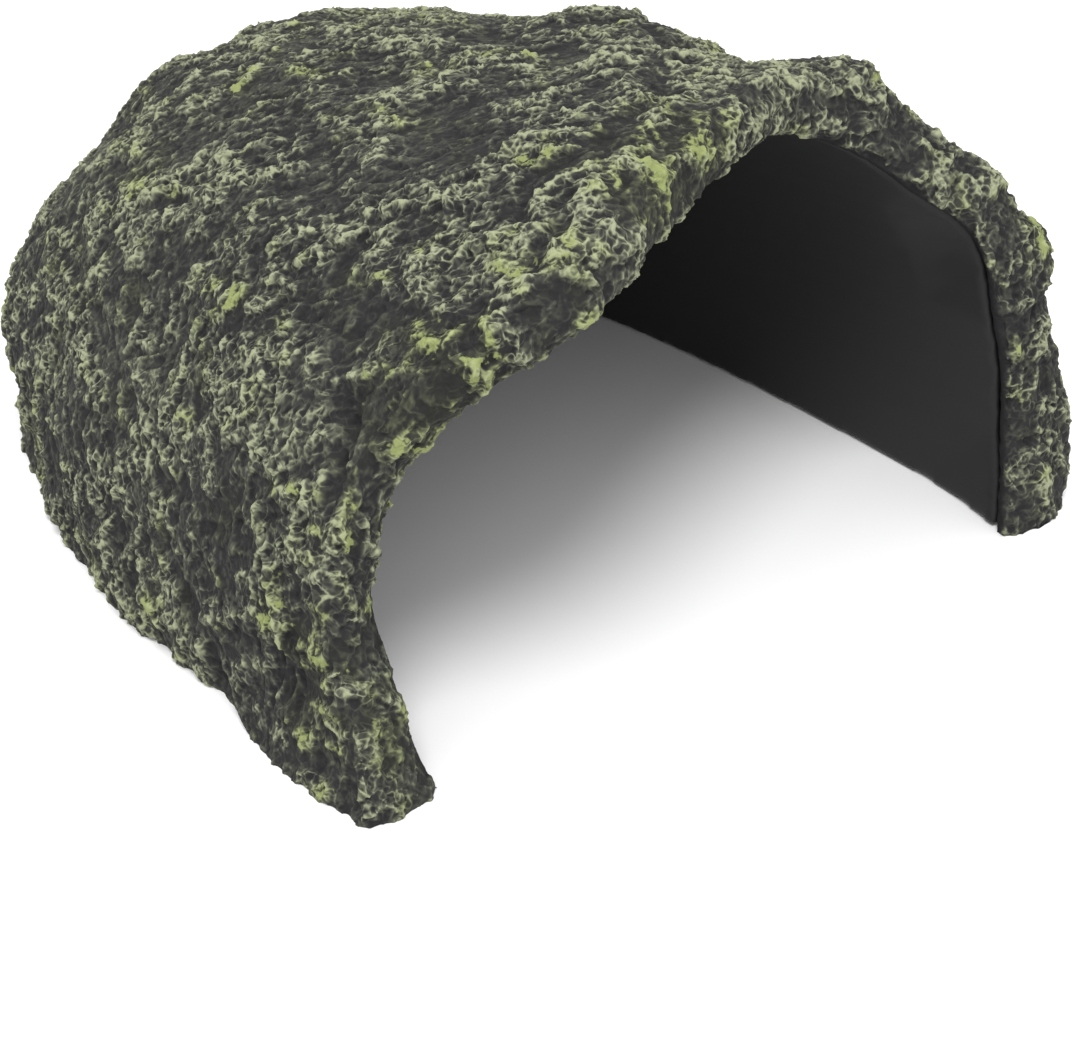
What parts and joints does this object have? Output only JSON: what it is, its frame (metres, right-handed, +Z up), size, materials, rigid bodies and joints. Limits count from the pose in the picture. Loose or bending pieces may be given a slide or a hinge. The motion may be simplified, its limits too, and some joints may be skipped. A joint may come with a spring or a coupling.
{
  "type": "aquarium cave hide",
  "caption": "Hollow half-dome cave of textured rock-effect resin with one wide arched mouth, closed back and flat open base, over a smooth black inner layer.",
  "frame": {"origin": "middle of the footprint, on the surface the cave stands on", "axes": "+Z up, -Y out of the mouth, +X to the right of someone looking into the mouth"},
  "size_m": [0.1786, 0.1986, 0.1046],
  "materials": {
    "rock": "rough rock-effect polyresin, dark grey with dry-brushed yellow-green and grey crests",
    "lining": "smooth black polyresin, satin"
  },
  "bodies": {
    "root": {"rock_shell": "rock", "inner_lining": "lining"}
  },
  "joints": []
}
